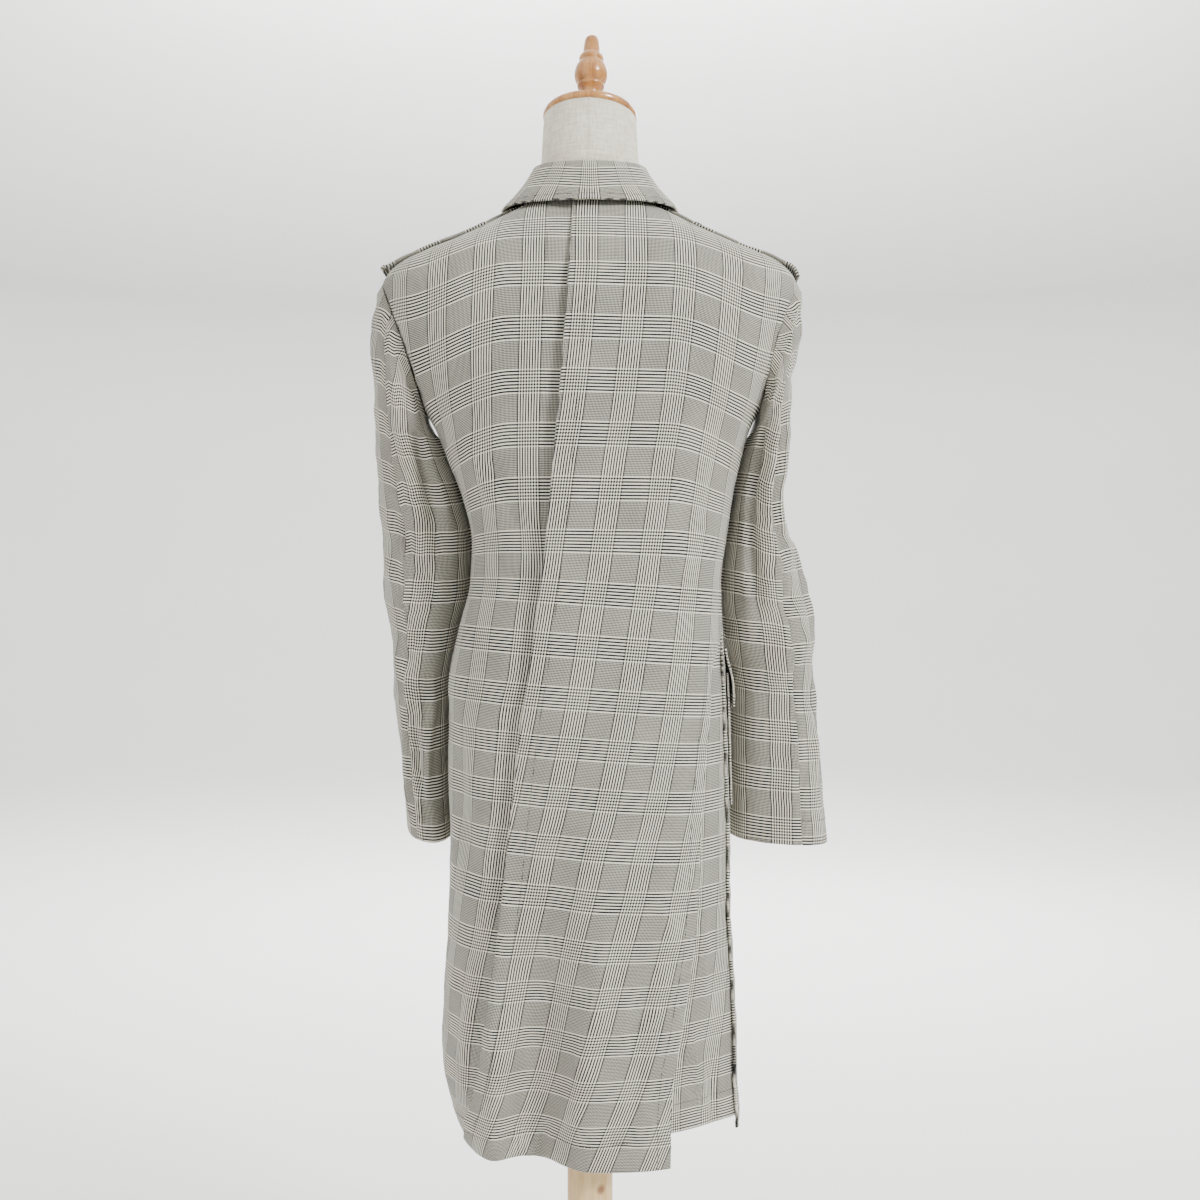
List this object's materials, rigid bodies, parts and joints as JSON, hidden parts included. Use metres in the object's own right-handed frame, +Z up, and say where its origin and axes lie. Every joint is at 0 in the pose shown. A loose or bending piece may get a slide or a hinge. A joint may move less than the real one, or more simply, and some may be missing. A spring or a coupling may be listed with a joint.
{
  "type": "half coat on a dress form",
  "caption": "Three-quarter length checked coat with turned collar, shoulder straps, back pleat, side vent and patch pockets, on a limbless dress form with turned finial, pole and base.",
  "frame": {"origin": "centre of the round base's underside, on the floor and on the pole's axis", "axes": "+Z up; the back of the coat faces -Y; +X is the wearer's right"},
  "size_m": [0.4958, 0.38, 1.6165],
  "materials": {
    "check_cloth": "black and cream glen check in a light wool and cotton cloth, matt with short nap",
    "dark_button": "black four-hole button, satin polished",
    "linen": "cream linen cover, plain weave, matt",
    "cap_wood": "honey-coloured varnished turned wood",
    "pole_wood": "pale pine, thin matt varnish, small knots",
    "base_wood": "honey-coloured varnished turned wood"
  },
  "bodies": {
    "root": {"base": "base_wood", "pole": "pole_wood", "dress_form": "linen", "neck_cap": "cap_wood", "finial": "cap_wood", "back_left": "check_cloth", "back_right": "check_cloth", "vent_underlay": "check_cloth", "front_left": "check_cloth", "front_right": "check_cloth", "collar": "check_cloth", "sleeve_left_upper": "check_cloth", "sleeve_left_under": "check_cloth", "sleeve_right_upper": "check_cloth", "sleeve_right_under": "check_cloth", "shoulder_strap_left": "check_cloth", "shoulder_strap_right": "check_cloth", "pocket_left": "check_cloth", "pocket_right": "check_cloth", "pocket_flap_left": "check_cloth", "pocket_flap_right": "check_cloth", "strap_button_left": "dark_button", "strap_button_right": "dark_button", "front_button_1": "dark_button", "front_button_2": "dark_button", "front_button_3": "dark_button", "front_button_4": "dark_button", "front_button_5": "dark_button"}
  },
  "joints": []
}
